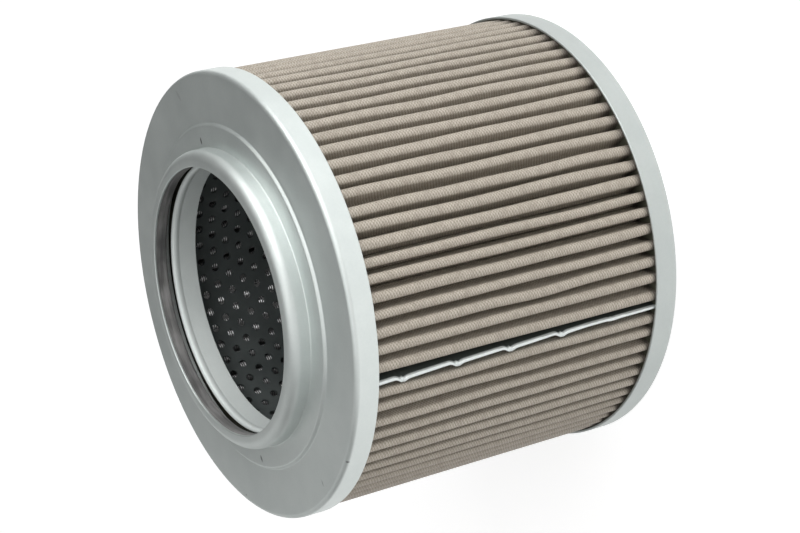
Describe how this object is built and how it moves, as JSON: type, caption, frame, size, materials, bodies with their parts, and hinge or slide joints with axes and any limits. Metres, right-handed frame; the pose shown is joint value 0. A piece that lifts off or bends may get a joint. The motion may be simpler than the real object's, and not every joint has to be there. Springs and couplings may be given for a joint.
{
  "type": "pleated hydraulic filter element",
  "caption": "Cylindrical pleated wire-mesh filter element with pressed steel end caps and a flanged, rubber-sealed neck at its open end.",
  "frame": {"origin": "centre of the closed end cap's underside", "axes": "+Z along the element's axis, from the closed end towards the open neck"},
  "size_m": [0.15, 0.15, 0.1319],
  "materials": {
    "plated_steel": "satin zinc plate",
    "dark_steel": "dark grey, dull",
    "wire_mesh": "fine woven stainless wire",
    "rubber": "semi-gloss",
    "resin": "cast resin, dull greenish beige",
    "clip_steel": "bright strip"
  },
  "bodies": {
    "root": {"front_end_cap": "plated_steel", "rear_end_cap": "plated_steel", "seal_ring": "rubber", "neck_sleeve": "plated_steel", "front_potting": "resin", "rear_potting": "resin", "core_tube": "dark_steel", "filter_mesh": "wire_mesh", "seam_clip": "clip_steel"}
  },
  "joints": []
}
